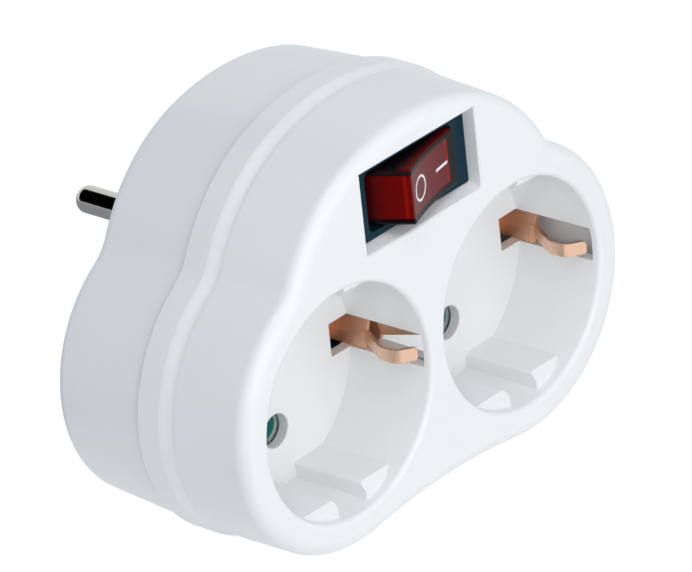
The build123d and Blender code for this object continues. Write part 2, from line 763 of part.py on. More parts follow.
def switch_frame():
    """Black switch body: bezel flange, open box, pivot holes and snap lugs."""
    flange = block(-bezel_length / 2, bezel_length / 2, bezel_y, flange_back,
                   switch_z - bezel_height / 2, switch_z + bezel_height / 2)
    flange = fillet(flange.edges().filter_by(Axis.Y), bezel_corner)
    half_x, half_z = frame_length / 2, frame_height / 2
    frame = flange + block(-half_x, half_x, flange_back, frame_back, switch_z - half_z, switch_z + half_z)
    snap_y = flange_back + ledge + fit_clearance
    for side in (-1, 1):
        points = [(half_x, snap_y), (half_x + snap_rise, snap_y), (half_x, snap_y + snap_length)]
        frame += plate_xy([(side * x, y) for x, y in points],
                          switch_z - snap_half_width, switch_z + snap_half_width)
    cavity = block(-cavity_length / 2, cavity_length / 2, bezel_y, frame_inner,
                   switch_z - cavity_height / 2, switch_z + cavity_height / 2)
    frame -= fillet(cavity.edges().filter_by(Axis.Y), cavity_corner)
    hole = Pos(0, pivot_y, switch_z) * Cylinder(pivot_radius + pivot_clearance, 2 * frame_height)
    frame -= hole
    for x in (-terminal_x, 0, terminal_x):
        frame -= block(x - blade_width / 2, x + blade_width / 2, frame_inner, frame_back,
                       switch_z - blade_sheet / 2, switch_z + blade_sheet / 2)
    return frame


def rocker_profile():
    """Side view of the level rocker: dished top, and ends that lean as far as it tips."""
    lean = radians(rocker_tilt)
    rocker_rim = (rocker_waist - rocker_top * sin(lean)) / cos(lean) - rocker_relief
    rocker_foot = rocker_waist - rocker_foot_inset

    def place(x, height):
        return (x, pivot_y - height, switch_z - rocker_width / 2)

    dish = ThreePointArc(place(-rocker_rim, rocker_top), place(0, rocker_top - rocker_hollow),
                         place(rocker_rim, rocker_top))
    sides = Polyline(
        place(rocker_rim, rocker_top), place(rocker_waist, 0), place(rocker_foot, -rocker_skirt),
        place(-rocker_foot, -rocker_skirt), place(-rocker_waist, 0), place(-rocker_rim, rocker_top))
    return make_face([dish, sides])


def level_rocker():
    """Solid rocker with rounded ends and top, before its pockets and marks are cut."""
    body = extrude(rocker_profile(), rocker_width, dir=(0, 0, 1))
    ends = [edge for edge in body.edges().filter_by(GeomType.LINE) - body.edges().filter_by(Axis.Z)
            if abs(edge.center().X) > pocket_half_length]
    body = fillet(ends, rocker_corner)
    rim_y = pivot_y - rocker_top + rocker_hollow + rocker_edge
    rim = [edge for edge in body.edges() if edge.bounding_box().max.Y < rim_y]
    return fillet(rim, rocker_edge)


def tilted(shape):
    """Turns a piece of the level rocker to its pressed rest position."""
    return shape.rotate(Axis((0, pivot_y, switch_z), (0, 0, 1)), rocker_tilt)


def mark_columns():
    """Ring and bar that the two switch marks are cut from."""
    top = pivot_y - rocker_top
    low = pivot_y
    ring = tube(mark_off_x, switch_z, top, low, mark_off_radius, mark_off_radius - mark_off_stroke)
    half = mark_on_length / 2
    bar = block(mark_on_x - half, mark_on_x + half, top, low,
                switch_z - mark_on_stroke / 2, switch_z + mark_on_stroke / 2)
    return [ring, bar]


def level_marks():
    """Thin inlays that follow the rocker's dished top."""
    body = level_rocker()
    core = Pos(0, mark_depth, 0) * body
    return [(column & body) - core for column in mark_columns()]


def rocker():
    """Translucent rocker with its pivots, plunger sleeve and lamp pocket."""
    body = level_rocker()
    body -= block(-pocket_half_length, pocket_half_length, ceiling_y, pivot_y + rocker_skirt,
                  switch_z - pocket_half_height, switch_z + pocket_half_height)
    body += rod(0, switch_z, ceiling_y, pivot_y + guide_length, guide_radius)
    body -= rod(0, switch_z, ceiling_y, pivot_y + guide_length, guide_bore)
    reach = cavity_height / 2 + pivot_reach
    for up in (-1, 1):
        inner = pocket_half_height
        body += Pos(0, pivot_y, switch_z + up * (reach + inner) / 2) * Cylinder(pivot_radius, reach - inner)
    for mark in level_marks():
        body -= mark
    return tilted(body)


def rocker_marks():
    """White O and I inlays of the rocker."""
    return Compound([tilted(mark) for mark in level_marks()])


def rocker_plunger():
    """Round-ended plunger that rocks the contact lever."""
    tip_y = pivot_y + plunger_reach
    plunger = rod(0, switch_z, pivot_y - plunger_top, tip_y, plunger_radius)
    return tilted(fillet(edges_at(plunger, tip_y), plunger_radius - plunger_flat))


def rocker_spring():
    """Coil spring between the plunger and the rocker."""
    height = pivot_y - plunger_top - ceiling_y - 2 * spring_wire - 2 * lamp_gap
    start = (0, ceiling_y + spring_wire + lamp_gap, switch_z)
    radius = guide_bore - spring_clearance - spring_wire
    path = Helix(pitch=spring_pitch, height=height, radius=radius, center=start, direction=(0, 1, 0))
    section = Plane(path @ 0, z_dir=path % 0) * Circle(spring_wire)
    return tilted(sweep(section, path=path, is_frenet=True))


def lamp_axis_y(radius):
    """Depth of a round part that lies against the pocket's ceiling."""
    return ceiling_y + radius + lamp_gap


def neon_lamp():
    """Small glow lamp in the rocker's pocket."""
    lamp = Pos(lamp_x, lamp_axis_y(lamp_radius), switch_z) * Cylinder(lamp_radius, lamp_length)
    ends = lamp.edges().filter_by(GeomType.CIRCLE)
    return tilted(fillet(ends, lamp_radius - lamp_end_flat))


def lamp_resistor():
    """Series resistor of the lamp."""
    body = Pos(-lamp_x, lamp_axis_y(resistor_radius), switch_z) * Cylinder(resistor_radius, resistor_length)
    return tilted(body)


def lamp_leads():
    """Bare wires: one joins the lamp to its resistor, two run down to the terminals."""
    z = pocket_half_height - lamp_gap - wire_radius
    lamp_y, part_y = lamp_axis_y(lamp_radius), lamp_axis_y(resistor_radius)
    bridge = Pos(0, lamp_y, switch_z + z) * Rot(0, 90, 0) * Cylinder(wire_radius, 2 * lamp_x)
    wires = [bridge]
    for x, y in ((lamp_x, lamp_y), (-lamp_x, part_y)):
        wires.append(rod(x, switch_z - z, y, pivot_y + wire_drop, wire_radius))
    return Compound([tilted(wire) for wire in wires])


def contact_lever():
    """See-saw contact on the middle terminal, tipped to its closed side."""
    top = fulcrum_y - lever_sheet
    lever = block(-lever_half_length, lever_half_length, top, fulcrum_y,
                  switch_z - lever_half_width, switch_z + lever_half_width)
    lever -= Pos(0, fulcrum_y, switch_z) * Cylinder(lever_groove, 2 * lever_half_width)
    return lever.rotate(Axis((0, fulcrum_y, switch_z), (0, 0, 1)), -lever_tilt)


def input_terminal():
    """Middle blade with the round-tipped knife edge that the lever rocks on."""
    half = blade_width / 2
    tip = lever_groove - lever_gap
    points = [
        (-half, blade_back), (half, blade_back), (half, frame_inner), (knife_base, frame_inner),
        (tip, fulcrum_y), (-tip, fulcrum_y), (-knife_base, frame_inner), (-half, frame_inner),
    ]
    blade = plate_xy(points, switch_z - blade_sheet / 2, switch_z + blade_sheet / 2)
    return blade + Pos(0, fulcrum_y, switch_z) * Cylinder(tip, blade_sheet)


def side_terminal(side):
    """Outer blade with a foot on the switch's floor."""
    x = side * terminal_x
    half = blade_width / 2
    blade = block(x - half, x + half, frame_inner - blade_sheet, blade_back,
                  switch_z - blade_sheet / 2, switch_z + blade_sheet / 2)
    foot = block(x - half, x + half, frame_inner - blade_sheet, frame_inner,
                 switch_z - terminal_foot_half_width, switch_z + terminal_foot_half_width)
    return blade + foot


def output_terminal():
    """Outer blade with the fixed contact stud under the lever's closed end."""
    under_lever = fulcrum_y + (stud_x + stud_radius) * tan(radians(lever_tilt))
    stud = rod(-stud_x, switch_z, under_lever + lever_gap, frame_inner - blade_sheet, stud_radius)
    return side_terminal(-1) + stud


nodes = {
    "front_housing": front_housing(),
    "rear_housing": rear_housing(),
    "housing_screws": housing_screws(),
    "upper_plug_pin": plug_pin(plug_z + pin_z),
    "lower_plug_pin": plug_pin(plug_z - pin_z),
    "left_plug_earth_strip": plug_earth_strip(-1),
    "right_plug_earth_strip": plug_earth_strip(1),
    "left_earth_bracket": earth_bracket(-1),
    "right_earth_bracket": earth_bracket(1),
    "earth_link": earth_link(),
    "earth_rivets": earth_rivets(),
    "contact_carrier": contact_carrier(),
    "left_upper_contact": socket_contact(-socket_x, pin_z),
    "left_lower_contact": socket_contact(-socket_x, -pin_z),
    "right_upper_contact": socket_contact(socket_x, pin_z),
    "right_lower_contact": socket_contact(socket_x, -pin_z),
    "neutral_bus": neutral_bus(),
    "live_bus": live_bus(),
    "live_feed_strip": live_feed_strip(),
    "lamp_return_lead": lamp_return_lead(),
    "switch_frame": switch_frame(),
    "rocker": rocker(),
    "rocker_marks": rocker_marks(),
    "rocker_plunger": rocker_plunger(),
    "rocker_spring": rocker_spring(),
    "neon_lamp": neon_lamp(),
    "lamp_resistor": lamp_resistor(),
    "lamp_leads": lamp_leads(),
    "contact_lever": contact_lever(),
    "input_terminal": input_terminal(),
    "output_terminal": output_terminal(),
    "lamp_terminal": side_terminal(1),
}

os.makedirs("parts", exist_ok=True)
to_plug_axis = Pos(0, 0, plug_drop)
for name, shape in nodes.items():
    export_step(to_plug_axis * shape, "parts/" + name + ".step")
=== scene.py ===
import json
from math import radians

import bmesh
import bpy
from bpy.props import FloatProperty, FloatVectorProperty, PointerProperty
from mathutils import Matrix, Vector


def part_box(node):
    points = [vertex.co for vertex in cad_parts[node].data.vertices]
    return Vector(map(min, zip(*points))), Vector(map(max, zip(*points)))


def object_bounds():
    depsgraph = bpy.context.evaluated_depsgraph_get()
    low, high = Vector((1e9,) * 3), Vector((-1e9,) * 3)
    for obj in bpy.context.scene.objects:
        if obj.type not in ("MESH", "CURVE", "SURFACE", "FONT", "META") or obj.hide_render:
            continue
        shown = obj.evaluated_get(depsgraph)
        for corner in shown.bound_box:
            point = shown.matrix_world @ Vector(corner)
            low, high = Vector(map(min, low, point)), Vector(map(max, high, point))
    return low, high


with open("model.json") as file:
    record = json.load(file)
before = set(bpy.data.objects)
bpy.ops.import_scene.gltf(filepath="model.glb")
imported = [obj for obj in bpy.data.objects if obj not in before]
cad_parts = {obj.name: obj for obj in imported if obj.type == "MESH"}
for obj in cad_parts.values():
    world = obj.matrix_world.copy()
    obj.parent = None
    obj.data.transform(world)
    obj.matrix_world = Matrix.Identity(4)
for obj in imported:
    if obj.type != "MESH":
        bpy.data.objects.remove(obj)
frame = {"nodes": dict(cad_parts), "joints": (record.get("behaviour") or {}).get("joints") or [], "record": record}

bl_info = {
    "name": "Socket Adapter Looks",
    "version": (1, 0, 0),
    "blender": (4, 5, 0),
    "location": "3D View > Sidebar > Adapter",
    "description": "Finishes and studio for a two-way socket adapter with a rocker switch",
    "category": "Object",
}

# Sizes below are in metres, as the frame's are.
mm = 0.001

# What the frame says about the part
cad_low, cad_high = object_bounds()
record = frame["record"]
nodes = frame["nodes"]
slot_of = {part["node"]: part["material_slot"] for part in record["subparts"]}
slot_colour = {entry["slot"]: tuple(entry["base_color"]) for entry in record["materials"]}
joints = {joint["name"]: joint for joint in frame["joints"]}
rocker_axis = Vector(joints["rocker_tip"]["pos_m"])
rocker_tilt = radians(joints["rocker_tip"]["range_deg"][1]) / 2
socket_contacts = [
    "left_upper_contact", "left_lower_contact", "right_upper_contact", "right_lower_contact",
]

# Moulded plastic: clouds of colour, patches of gloss, and its skin
plastic_cloud = 9.0 * mm
plastic_cloud_shades = (0.985, 1.015)
plastic_patch = 1.5 * mm
plastic_gloss_spread = 0.05
plastic_grain = 0.5 * mm
plastic_relief = 0.004 * mm
plastic_specular = 0.5

# Sheet metal: clouds of tarnish, drawn lines, and its skin
metal_cloud = 2.5 * mm
metal_cloud_detail = 6.0
metal_tarnish = 0.82
metal_line = 0.25 * mm
metal_grain = 0.4 * mm
metal_relief = 0.003 * mm

# Scale of a grain along x, y and z: a small one draws it out into lines
even_grain = (1.0, 1.0, 1.0)
rolled_lines = (1.0, 0.3, 1.0)
drawn_lines = (1.0, 0.2, 1.0)

# Plated metals: roughness, with how far it strays either way
nickel_roughness = (0.12, 0.03)
nickel_relief = 0.0005 * mm
nickel_tarnish = 0.95
steel_roughness = (0.32, 0.06)
tin_roughness = (0.5, 0.08)
tin_metallic = 0.35

# Plain plastics, coats and glass
bezel_roughness = 0.42
bezel_specular = 0.12
carrier_roughness = 0.5
wire_roughness = 0.45
inlay_roughness = 0.4
coat_roughness = 0.5
glass_roughness = 0.08
glass_gloss_spread = 0.02

# Spring bronze: depths between which the clips go from tarnished to rubbed bright, and both finishes
clip_dull = -44.5 * mm
clip_bright = -49.0 * mm
wear_patches = 0.15
tarnished_roughness = 0.6
rubbed_roughness = 0.24
bronze_grain = 0.8 * mm
bronze_relief = 0.001 * mm

# Socket contacts: depths between which they go from bare to lined
liner_from = -38.6 * mm
liner_full = -38.2 * mm

# Rocker, seen level. Across it: where the painted shade of its walls starts, and how far up the middle of them
# sits
lens_side_wall = 3.8 * mm
lens_rise = 0.2 * mm
# Along it from its axis: the painted shade on the wall at its pressed end, and the painted bright line of gathered
# light before that
lens_end_wall = 5.9 * mm
lens_end_line = 0.7 * mm
# Over its axis: the painted stripe of gathered light, the fade from its depth into painted shade, and the fade of
# the painted light on its sides
lens_stripe = (8.15 * mm, 8.75 * mm)
lens_gradient = (1.2 * mm, 5.8 * mm)
lens_side_fade = (6.5 * mm, 9.5 * mm)
# Where its top, which takes a painted reflection, begins, along it and over its axis
lens_top_from = (-8.0 * mm, 8.8 * mm)
# Its soft edges, which faces count as sides, its clouds of painted glow, gloss and skin
lens_blur = 0.2 * mm
lens_side_facing = (0.5, 0.8)
lens_cloud = 1.2 * mm
lens_cloud_share = 0.25
lens_patch = 2.0 * mm
lens_roughness = (0.19, 0.03)
lens_specular = 0.09
lens_grain = 0.6 * mm
lens_relief = 0.001 * mm

# The photograph's frame
image_width = 692
sensor_width = 36.0
camera_reach = 20.0

# Light of the sky, what it looks like, and light of the lamps
cool_white = (0.815, 0.89, 1.0)
pure_white = (1.0, 1.0, 1.0)
lamp_white = (1.0, 0.985, 0.945)

# Square lamps: their side and their places
lamp_side = 0.6
key_place = (-0.40, -0.88, 0.25)
fill_place = (0.25, -0.90, 0.35)
top_place = (-0.20, -0.30, 0.93)

# Floor: its own grey, its glow, and how much of it is glow where it is seen
floor_side = 8.0
floor_grey = 0.9
floor_glow = 1.12
floor_glow_share = 0.85
upwards = (0.0, 0.0, 1.0)

# Card over the plug's pins, from the middle of the upper one
pin_card_place = Vector((-0.135, 0.155, 0.149))
pin_card_faces = (0.53, 0.0, -0.85)
pin_card_size = (0.5, 0.57)
# Grey card that lies on the floor behind the part
floor_card_place = (-0.45, 0.20, cad_low.z + mm)
floor_card_size = (1.16, 0.38)
floor_card_shade = 0.64
# Small card at the left of the part, that faces the rocker
rocker_card_faces = Vector((0.858, 0.256, 0.446))
rocker_card_distance = 0.08
rocker_card_size = (0.08, 0.06)


def colour_prop(name, description, default):
    """A colour that a user may change."""
    return FloatVectorProperty(name=name, description=description, default=default,
                               subtype="COLOR", size=3, min=0.0, max=1.0)


def share_prop(name, description, default):
    """A share from none to all that a user may change."""
    return FloatProperty(name=name, description=description, default=default,
                         min=0.0, max=1.0, subtype="FACTOR")


def angle_prop(name, description, degrees):
    """An angle that a user may change."""
    return FloatProperty(name=name, description=description, default=radians(degrees), subtype="ANGLE")


def power_prop(name, description, watts):
    """A lamp's power that a user may change."""
    return FloatProperty(name=name, description=description, default=watts, unit="POWER")


class AdapterFinishes(bpy.types.PropertyGroup):
    """Colours and gloss of the adapter's surfaces."""

    shell_colour: colour_prop("Shell", "White plastic of both housing shells", (0.90, 0.905, 0.91))
    shell_roughness: share_prop("Shell roughness", "Gloss of the housing shells", 0.34)
    bezel_colour: colour_prop("Bezel", "Dark plastic of the switch body", (0.003, 0.028, 0.046))
    carrier_colour: colour_prop("Carrier", "Dull plastic behind the pin holes", (0.02, 0.13, 0.14))
    liner_colour: colour_prop("Liner", "Plastic inside the socket contacts", (0.037, 0.37, 0.35))
    lens_colour: colour_prop("Lens", "Tinted plastic of the rocker", (0.13, 0.002, 0.003))
    lens_glow: colour_prop("Lens glow", "Where light gathers near the rocker's edges",
                           (0.27, 0.005, 0.002))
    lens_deep: colour_prop("Lens depth", "Low parts of the rocker, that light hardly reaches",
                           (0.02, 0.001, 0.002))
    # Painted reflection of the bright surroundings on the rocker's dished top
    lens_top_reflection: colour_prop("Lens top", "Rocker's dished top, over its lamp", (0.15, 0.012, 0.017))
    # Painted shade along the rocker's thick walls, where they show its dark inside
    lens_edge_shade: colour_prop("Lens edge", "Thick walls of the rocker, seen along their length",
                           (0.006, 0.003, 0.005))
    bronze_colour: colour_prop("Bronze", "Spring bronze where plugs rub it", (0.78, 0.52, 0.38))
    tarnish_colour: colour_prop("Tarnish", "Spring bronze that nothing rubs", (0.80, 0.50, 0.34))
    nickel_colour: colour_prop("Nickel", "Plating of the plug's pins and strips", (0.55, 0.535, 0.51))
    tin_colour: colour_prop("Tin", "Plating of contacts, bars and blades", slot_colour["tinned_contact"])


class AdapterStage(bpy.types.PropertyGroup):
    """Camera and lights."""

    azimuth: angle_prop("Azimuth", "Camera's turn round the part", -46.656)
    elevation: angle_prop("Elevation", "Camera's height over the horizon", 26.460)
    roll: angle_prop("Roll", "Camera's lean to one side", -6.292)
    distance: FloatProperty(name="Distance", description="Camera to the point that it aims at",
                            default=1.1487, unit="LENGTH")
    aim: FloatVectorProperty(name="Aim", description="Point in the middle of the picture",
                             default=(7.2 * mm, -32.68 * mm, 2.52 * mm),
                             subtype="TRANSLATION", unit="LENGTH")
    focal_pixels: FloatProperty(name="Focal length", description="Lens, in pixels of the picture",
                                default=7000.0)
    key_power: power_prop("Key light", "Large soft light at the front left", 3.0)
    fill_power: power_prop("Fill light", "Large soft light at the front right", 1.1)
    top_power: power_prop("Top light", "Large soft light overhead", 2.2)
    world_strength: FloatProperty(name="Sky", description="Even light from all round", default=0.48)


def finishes():
    """The finish settings of the open scene."""
    return bpy.context.scene.adapter_finishes


def new_material(name):
    """A node material, its nodes and its surface shader."""
    material = bpy.data.materials.new(name)
    material.use_nodes = True
    return material, material.node_tree, material.node_tree.nodes["Principled BSDF"]


def link(tree, output, target):
    """Joins one node's output to another's input."""
    tree.links.new(output, target)


def noise(tree, grain, detail=3.0, stretch=even_grain):
    """Noise in the part's own space, with a grain in metres."""
    place = tree.nodes.new("ShaderNodeTexCoord")
    mapping = tree.nodes.new("ShaderNodeMapping")
    mapping.inputs["Scale"].default_value = stretch
    texture = tree.nodes.new("ShaderNodeTexNoise")
    texture.inputs["Scale"].default_value = 1.0 / grain
    texture.inputs["Detail"].default_value = detail
    link(tree, place.outputs["Object"], mapping.inputs["Vector"])
    link(tree, mapping.outputs["Vector"], texture.inputs["Vector"])
    return texture.outputs["Fac"]


def between(tree, factor, low, high):
    """A number that runs from low to high with a factor."""
    spread = tree.nodes.new("ShaderNodeMapRange")
    spread.inputs["To Min"].default_value = low
    spread.inputs["To Max"].default_value = high
    link(tree, factor, spread.inputs["Value"])
    return spread.outputs["Result"]


def ramp(tree, value, start, end):
    """Runs smoothly from none to all as a value goes from start to end."""
    spread = tree.nodes.new("ShaderNodeMapRange")
    spread.interpolation_type = "SMOOTHSTEP"
    spread.inputs["From Min"].default_value = start
    spread.inputs["From Max"].default_value = end
    link(tree, value, spread.inputs["Value"])
    return spread.outputs["Result"]


def reckon(tree, operation, first, second=None):
    """The result of a sum on one or two values, of which the second may be a plain number."""
    node = tree.nodes.new("ShaderNodeMath")
    node.operation = operation
    link(tree, first, node.inputs[0])
    if isinstance(second, float):
        node.inputs[1].default_value = second
    elif second is not None:
        link(tree, second, node.inputs[1])
    return node.outputs["Value"]


def colour_mix(tree, factor, colour):
    """A mix that ends at a colour, and its place for the colour that it starts from."""
    mix = tree.nodes.new("ShaderNodeMix")
    mix.data_type = "RGBA"
    mix.inputs["B"].default_value = (*colour, 1.0)
    link(tree, factor, mix.inputs["Factor"])
    return mix.outputs["Result"], mix.inputs["A"]


def tint(tree, factor, first, second):
    """A colour that runs from one to another with a factor."""
    result, start = colour_mix(tree, factor, second)
    start.default_value = (*first, 1.0)
    return result


def layer(tree, mask, under, colour):
    """A colour laid over what is under it, where a mask says."""
    result, start = colour_mix(tree, mask, colour)
    link(tree, under, start)
    return result


def uneven_gloss(tree, shader, pattern, roughness, spread):
    """Roughness that strays either way of a middle value with a pattern."""
    link(tree, between(tree, pattern, roughness - spread, roughness + spread), shader.inputs["Roughness"])


def rough_skin(tree, shader, grain, depth):
    """Fine relief of a moulded or rolled surface."""
    bump = tree.nodes.new("ShaderNodeBump")
    bump.inputs["Strength"].default_value = 1.0
    bump.inputs["Distance"].default_value = depth
    link(tree, noise(tree, grain), bump.inputs["Height"])
    link(tree, bump.outputs["Normal"], shader.inputs["Normal"])


def shaded(colour, factor):
    """A colour made lighter or darker by a factor."""
    return tuple(min(1.0, channel * factor) for channel in colour)


def depth_in_part(tree):
    """Place along the part's depth, from the plug's end face."""
    spot = tree.nodes.new("ShaderNodeTexCoord")
    parts = tree.nodes.new("ShaderNodeSeparateXYZ")
    link(tree, spot.outputs["Object"], parts.inputs["Vector"])
    return parts.outputs["Y"]


def moulded_plastic(name, colour, roughness, spread=plastic_gloss_spread, specular=plastic_specular):
    """Moulded plastic with slightly uneven gloss and colour."""
    material, tree, shader = new_material(name)
    shades = [shaded(colour, factor) for factor in plastic_cloud_shades]
    link(tree, tint(tree, noise(tree, plastic_cloud), *shades), shader.inputs["Base Color"])
    uneven_gloss(tree, shader, noise(tree, plastic_patch), roughness, spread)
    shader.inputs["Specular IOR Level"].default_value = specular
    rough_skin(tree, shader, plastic_grain, plastic_relief)
    return material


def sheet_metal(name, colour, roughness, stretch, depth=metal_relief, tarnish=metal_tarnish,
                metallic=1.0):
    """Rolled or drawn metal with fine lines along it and uneven tarnish."""
    material, tree, shader = new_material(name)
    shader.inputs["Metallic"].default_value = metallic
    cloud = noise(tree, metal_cloud, detail=metal_cloud_detail)
    link(tree, tint(tree, cloud, shaded(colour, tarnish), colour), shader.inputs["Base Color"])
    uneven_gloss(tree, shader, noise(tree, metal_line, stretch=stretch), *roughness)
    rough_skin(tree, shader, metal_grain, depth)
    return material


def rubbed_bronze(settings):
    """Spring bronze: dull and brown low in the wells, smooth and bright where plugs slide along it."""
    material, tree, shader = new_material("bronze_sheet")
    shader.inputs["Metallic"].default_value = 1.0
    rubbed = ramp(tree, depth_in_part(tree), clip_dull, clip_bright)
    cloud = noise(tree, metal_cloud, detail=metal_cloud_detail)
    wear = reckon(tree, "ADD", rubbed, between(tree, cloud, -wear_patches, wear_patches))
    colour = tint(tree, wear, settings.tarnish_colour, settings.bronze_colour)
    link(tree, colour, shader.inputs["Base Color"])
    link(tree, between(tree, wear, tarnished_roughness, rubbed_roughness), shader.inputs["Roughness"])
    rough_skin(tree, shader, bronze_grain, bronze_relief)
    return material


def lined_sleeve(settings):
    """Tinned spring sleeve with a coloured plastic liner behind its bare mouth."""
    material, tree, shader = new_material("lined_contact")
    lined = ramp(tree, depth_in_part(tree), liner_from, liner_full)
    cloud = noise(tree, metal_cloud)
    bare = tint(tree, cloud, shaded(settings.tin_colour, metal_tarnish), settings.tin_colour)
    link(tree, layer(tree, lined, bare, settings.liner_colour), shader.inputs["Base Color"])
    link(tree, between(tree, lined, tin_metallic, 0.0), shader.inputs["Metallic"])
    uneven_gloss(tree, shader, cloud, *tin_roughness)
    rough_skin(tree, shader, metal_grain, metal_relief)
    return material


def over(tree, value, place):
    """All where a value is over a place on the lens, with a soft edge."""
    return ramp(tree, value, place - lens_blur, place + lens_blur)


def rocker_places(tree):
    """Place along, over and across the rocker as if level, and how far a face looks sideways."""
    spot = tree.nodes.new("ShaderNodeTexCoord")
    level = Matrix.Rotation(-rocker_tilt, 3, "Z")
    mapping = tree.nodes.new("ShaderNodeMapping")
    mapping.inputs["Location"].default_value = level @ -rocker_axis - Vector((0.0, 0.0, lens_rise))
    mapping.inputs["Rotation"].default_value = (0.0, 0.0, -rocker_tilt)
    link(tree, spot.outputs["Object"], mapping.inputs["Vector"])
    parts = tree.nodes.new("ShaderNodeSeparateXYZ")
    link(tree, mapping.outputs["Vector"], parts.inputs["Vector"])
    facing = tree.nodes.new("ShaderNodeSeparateXYZ")
    link(tree, spot.outputs["Normal"], facing.inputs["Vector"])
    height = reckon(tree, "MULTIPLY", parts.outputs["Y"], -1.0)
    across = reckon(tree, "ABSOLUTE", parts.outputs["Z"])
    sideways = reckon(tree, "ABSOLUTE", facing.outputs["Z"])
    return parts.outputs["X"], height, across, sideways


def lens_plastic(settings):
    """Tinted lens, deep red, with painted light brighter near its rim, painted shade along its sides, at its
    pressed end and in its depth, and a painted reflection on its top.
    """
    material, tree, shader = new_material("red_lens")
    along, height, across, sideways = rocker_places(tree)
    # Painted shade: the lens runs from its tint near the rim down to near black in its depth
    lit = ramp(tree, height, *lens_gradient)
    # Painted glow in clouds, only where the lens is lit
    cloud = reckon(tree, "MULTIPLY", noise(tree, lens_cloud), lit)
    # Painted bright stripe of gathered light, just under its rim
    stripe = reckon(tree, "SUBTRACT", *(over(tree, height, edge) for edge in lens_stripe))
    # Painted reflection on its dished top
    top_along, top_height = lens_top_from
    top = reckon(tree, "MULTIPLY", over(tree, along, top_along), over(tree, height, top_height))
    # Painted light on the faces of its sides near the rim, laid over their painted shade
    rim = reckon(tree, "MULTIPLY", ramp(tree, sideways, *lens_side_facing),
                 ramp(tree, height, *lens_side_fade))
    body = tint(tree, lit, settings.lens_deep, settings.lens_colour)
    # Layers of painted light, painted reflection and painted shade over the tinted body
    for mask, colour in (
        (between(tree, cloud, 0.0, lens_cloud_share), settings.lens_glow),
        (stripe, settings.lens_glow),
        (top, settings.lens_top_reflection),
        (over(tree, along, lens_end_wall - lens_end_line), settings.lens_glow),
        (over(tree, along, lens_end_wall), settings.lens_edge_shade),
        (over(tree, across, lens_side_wall), settings.lens_edge_shade),
        (rim, settings.lens_colour),
    ):
        body = layer(tree, mask, body, colour)
    link(tree, body, shader.inputs["Base Color"])
    uneven_gloss(tree, shader, noise(tree, lens_patch), *lens_roughness)
    shader.inputs["Specular IOR Level"].default_value = lens_specular
    rough_skin(tree, shader, lens_grain, lens_relief)
    return material


def paint(names, material):
    """Gives CAD nodes a finish."""
    for name in names:
        mesh = nodes[name].data
        mesh.materials.clear()
        mesh.materials.append(material)


def paint_slot(slot, material):
    """Gives a finish to the CAD nodes that take a material slot."""
    paint([node for node, its_slot in slot_of.items() if its_slot == slot], material)


def paint_plain(slot, roughness, spread=plastic_gloss_spread):
    """Gives the nodes of a slot a plain finish in the slot's own colour."""
    paint_slot(slot, moulded_plastic(slot, slot_colour[slot], roughness, spread))


class ADAPTER_OT_housing(bpy.types.Operator):
    """Finish both housing shells in white moulded plastic"""

    bl_idname = "adapter.housing"
    bl_label = "Housing shells"

    def execute(self, context):
        settings = finishes()
        shell = moulded_plastic("white_plastic", settings.shell_colour, settings.shell_roughness)
        paint_slot("white_plastic", shell)
        return {"FINISHED"}


class ADAPTER_OT_earth_parts(bpy.types.Operator):
    """Finish the earth brackets, their link and rivets, and the switch's lever in spring bronze"""

    bl_idname = "adapter.earth_parts"
    bl_label = "Earth parts"

    def execute(self, context):
        paint_slot("bronze_sheet", rubbed_bronze(finishes()))
        return {"FINISHED"}


class ADAPTER_OT_plug_metal(bpy.types.Operator):
    """Finish the plug's pins and earth strips in nickel, and the screws and spring in steel"""

    bl_idname = "adapter.plug_metal"
    bl_label = "Plug metal"

    def execute(self, context):
        nickel = sheet_metal("nickel_plate", finishes().nickel_colour, nickel_roughness, drawn_lines,
                             depth=nickel_relief, tarnish=nickel_tarnish)
        paint_slot("nickel_plate", nickel)
        steel = sheet_metal("screw_steel", slot_colour["screw_steel"], steel_roughness, even_grain)
        paint_slot("screw_steel", steel)
        return {"FINISHED"}


class ADAPTER_OT_contacts(bpy.types.Operator):
    """Finish the carrier, the socket contacts, the bars, the terminals and the lamp's wires"""

    bl_idname = "adapter.contacts"
    bl_label = "Contacts"

    def execute(self, context):
        settings = finishes()
        tin = sheet_metal("tinned_contact", settings.tin_colour, tin_roughness, rolled_lines,
                          metallic=tin_metallic)
        paint_slot("tinned_contact", tin)
        paint(socket_contacts, lined_sleeve(settings))
        carrier = moulded_plastic("carrier_plastic", settings.carrier_colour, carrier_roughness)
        paint_slot("carrier_plastic", carrier)
        paint_plain("wire_sleeve", wire_roughness)
        return {"FINISHED"}


class ADAPTER_OT_switch_body(bpy.types.Operator):
    """Finish the switch body and the rocker's plunger in dark satin plastic"""

    bl_idname = "adapter.switch_body"
    bl_label = "Switch body"

    def execute(self, context):
        bezel = moulded_plastic("black_plastic", finishes().bezel_colour, bezel_roughness,
                                specular=bezel_specular)
        paint_slot("black_plastic", bezel)
        return {"FINISHED"}


class ADAPTER_OT_rocker(bpy.types.Operator):
    """Finish the rocker, its marks, its lamp and the lamp's resistor"""

    bl_idname = "adapter.rocker"
    bl_label = "Rocker"

    def execute(self, context):
        paint_slot("red_lens", lens_plastic(finishes()))
        paint_plain("white_inlay", inlay_roughness)
        paint_plain("lamp_glass", glass_roughness, glass_gloss_spread)
        paint_plain("resistor_coat", coat_roughness)
        return {"FINISHED"}


